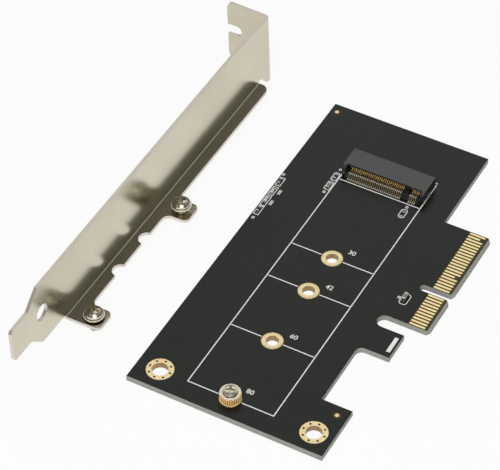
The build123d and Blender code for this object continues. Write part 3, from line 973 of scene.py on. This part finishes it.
black_glaze = finish("resistor_black", (0.02, 0.02, 0.021), 0.35)
tint(black_glaze, grain(black_glaze, 3.0), [(0.012, 0.012, 0.013), (0.035, 0.035, 0.036)])
ceramic = finish("capacitor_tan", (0.24, 0.225, 0.175), 0.5)
tint(ceramic, grain(ceramic, 2.5), [(0.18, 0.17, 0.13), (0.29, 0.275, 0.22)])
lamp_white = finish("lamp_white", (0.75, 0.75, 0.72), 0.5)
tint(lamp_white, grain(lamp_white, 3.0), [(0.66, 0.66, 0.63), (0.82, 0.82, 0.79)])
lens = finish("lamp_lens", (0.58, 0.59, 0.52), 0.15)
tint(lens, grain(lens, 2.0), [(0.48, 0.50, 0.42), (0.66, 0.67, 0.60)])
solder = finish("solder", (0.30, 0.30, 0.30), 0.3, metallic=1.0)
tint(solder, grain(solder, 3.0), [(0.20, 0.20, 0.20), (0.38, 0.38, 0.38)])
polish(solder, grain(solder, 6.0), 0.15, 0.4)
relief(solder, grain(solder, 5.0), 0.01, 0.5)

for kind, count, material, slot in (
    ("resistor", 3, black_glaze, "resistor_black"),
    ("capacitor", 2, ceramic, "capacitor_tan"),
):
    for number in range(1, count + 1):
        name = f"{kind}_{number}"
        caps = f"{name}_caps"
        dress(softened(f"{name}_block", outlined(name), block_edge), material, slot, name)
        dress(softened(f"{name}_ends", outlined(caps), cap_edge), tin, "tin", caps)
for name in ("lamp_1", "lamp_2"):
    dome = f"{name}_lens"
    dress(softened(f"{name}_base", outlined(name), lamp_edge), lamp_white, "lamp_white", name)
    dress(softened(f"{name}_dome", outlined(dome), dome_edge), lens, "lamp_lens", dome)
pads = softened("solder_pads", outlined("solder_lands"), land_edge)
dress(pads, solder, "solder", "solder_lands")

# Slot bracket
# One pressing of nickel-plated steel sheet: plate, folded flange with two tapped ears, and
# an end tab with an open slot for the case's screw. It closes the case's slot opening.
sheet = 0.86
sheet_slack = 0.1
pressed_edge = 0.07
corner_r = 2.2
flange_corner = Vector((52.59, 27.58, 3.0))
probe_depth = 0.02
bracket_turn = -0.61
bracket_lean = 2.0
bracket_screw = {
    "flange_r": 2.55,
    "flange_t": 0.35,
    "head_r": 2.15,
    "side_h": 0.65,
    "head_h": 1.75,
    "shank_r": 1.45,
    "shank_len": 4.0,
    "pitch": 0.5,
}

steel = finish("bracket_nickel", (0.60, 0.57, 0.47), 0.22, metallic=1.0)
tint(steel, grain(steel, 0.05, 3.0), [(0.555, 0.52, 0.40), (0.615, 0.58, 0.455)])
polish(steel, grain(steel, 4.0, 4.0), 0.18, 0.27)
relief(steel, grain(steel, 3.0, 4.0), 0.006, 0.25)
cut_steel = finish("bracket_cut_edge", (0.72, 0.68, 0.62), 0.42, metallic=0.7)
shear = grain(cut_steel, 2.5, 3.0)
side_shear = ramp(cut_steel, shear, [(0.68, 0.62, 0.55), (0.82, 0.76, 0.69)])
# Painted shade: cut edges that face up are coloured darker than those that face sideways.
top_shear_painted_shade = ramp(cut_steel, shear, [(0.58, 0.54, 0.45), (0.72, 0.675, 0.57)])
on_top = spread(cut_steel, upward(cut_steel), 0, 1, 0.3, 0.9)
link(cut_steel, mixed(cut_steel, on_top, side_shear, top_shear_painted_shade), "Base Color")
polish(cut_steel, shear, 0.36, 0.5)


def from_corner(edge):
    """How far the middle of an edge is from the flange's free corner."""
    return ((edge.verts[0].co + edge.verts[1].co) / 2 - flange_corner).length


pressing = outlined("bracket")
thinnest, thickest = (1 - sheet_slack) * sheet, (1 + sheet_slack) * sheet
across_sheet = [e for e in pressing.edges if thinnest < e.calc_length() < thickest]
free_corner = min(across_sheet, key=from_corner)
rounded(pressing, [free_corner], corner_r, segments=10, profile=0.5)
slot_bracket = softened("slot_bracket", pressing, pressed_edge)
dress(slot_bracket, steel, "bracket_nickel", "bracket")
slot_bracket.data.materials.append(cut_steel)

# A face with more metal behind it than the sheet is thick is a cut edge, rough and pale.
metal = bmesh.new()
metal.from_mesh(slot_bracket.data)
behind = BVHTree.FromBMesh(metal)
metal.free()
faces = slot_bracket.data.polygons
slot_bracket.data.calc_loop_triangles()
widest = {}
for part in slot_bracket.data.loop_triangles:
    known = widest.get(part.polygon_index)
    if known is None or part.area > known.area:
        widest[part.polygon_index] = part
for index, part in widest.items():
    inwards = -faces[index].normal
    metal_t = behind.ray_cast(Vector(part.center) + inwards * probe_depth * mm, inwards)[3]
    if metal_t is None or metal_t > (1 + 2 * sheet_slack) * sheet * mm:
        faces[index].material_index = 1

leaning = Matrix.Rotation(radians(bracket_turn), 4, "Z")
leaning = leaning @ Matrix.Rotation(radians(-bracket_lean), 4, "X")
head_up = (bracket_screw["shank_len"] - bracket_screw["head_h"]) / 2
for name, turn in (("bracket_screw_near", 15), ("bracket_screw_far", 40)):
    low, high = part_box(name)
    middle = Matrix.Translation((low + high) / 2 / mm)
    place = middle @ leaning @ Matrix.Translation((0, 0, head_up))
    pan_screw(f"{name}_threaded", place, bracket_screw, turn, name)

# Floor, light and camera
# A plain white floor, a dim sky with one broad bright patch high behind the row, a large
# soft lamp beyond the near end, and a small one almost overhead for the polished heads.
floor_reach = 3.0
floor_glow = 0.9
sky_patch = Vector((0.62, 0.33, 0.72))
patch_outer = 37
patch_inner = 22
sky_dim = 0.18
sky_bright = 0.95

bpy.ops.mesh.primitive_plane_add(size=floor_reach)
ground = bpy.context.object
ground.name = "floor"
white = finish("floor_white", (0.9, 0.9, 0.9), 0.8)
glow = node(white, "ShaderNodeEmission", Strength=1.0)
rays = node(white, "ShaderNodeLightPath").outputs
seen, mirrored = rays["Is Camera Ray"], rays["Is Glossy Ray"]
share = reckoned(white, "MULTIPLY_ADD", seen, floor_glow, mirrored)
share.node.use_clamp = True
blend = node(white, "ShaderNodeMixShader", Fac=share)
feed(white, blend.inputs[1], white.node_tree.nodes["Principled BSDF"].outputs[0])
feed(white, blend.inputs[2], glow.outputs[0])
feed(white, white.node_tree.nodes["Material Output"].inputs["Surface"], blend.outputs[0])
ground.data.materials.append(white)
ground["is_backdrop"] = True

scene = bpy.context.scene
scene.view_settings.view_transform = "Standard"
sky = bpy.data.worlds.new("sky")
scene.world = sky
sky.use_nodes = True
direction = node(sky, "ShaderNodeTexCoord").outputs["Generated"]
nearness = reckoned(sky, "DOT_PRODUCT", direction, sky_patch.normalized(), kind=vectors)
softbox = node(
    sky,
    "ShaderNodeMapRange",
    interpolation_type="SMOOTHSTEP",
    Value=nearness,
    From_Min=cos(radians(patch_outer)),
    From_Max=cos(radians(patch_inner)),
    To_Min=sky_dim,
    To_Max=sky_bright,
)
air = sky.node_tree.nodes["Background"]
air.inputs["Color"].default_value = (1, 1, 1, 1)
feed(sky, air.inputs["Strength"], softbox.outputs["Result"])


def soft_lamp(name, power, size, place):
    """A square lamp that shines on the middle of the row."""
    data = bpy.data.lights.new(name, "AREA")
    data.energy = power
    data.size = size
    lamp = bpy.data.objects.new(name, data)
    lamp.location = place
    lamp.rotation_euler = (-lamp.location).to_track_quat("-Z", "Y").to_euler()
    scene.collection.objects.link(lamp)
    return lamp


key = soft_lamp("key", 11.0, 1.2, (-0.8, -0.25, 0.85))
key.visible_glossy = False
soft_lamp("glint", 1.2, 0.4, (-0.23, -0.12, 0.966))

azimuth, elevation, roll = -61.627, 45.215, 0.109
camera_data = bpy.data.cameras.new("camera")
camera_data.lens = 188.07
camera_data.clip_start = 0.01
camera = bpy.data.objects.new("camera", camera_data)
scene.collection.objects.link(camera)
camera.location = (-0.38049, -0.20073, 0.4438)
aim = Matrix.Rotation(radians(azimuth), 4, "Z") @ Matrix.Rotation(radians(90 - elevation), 4, "X")
camera.rotation_euler = (aim @ Matrix.Rotation(radians(roll), 4, "Z")).to_euler()
scene.camera = camera

low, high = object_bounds()
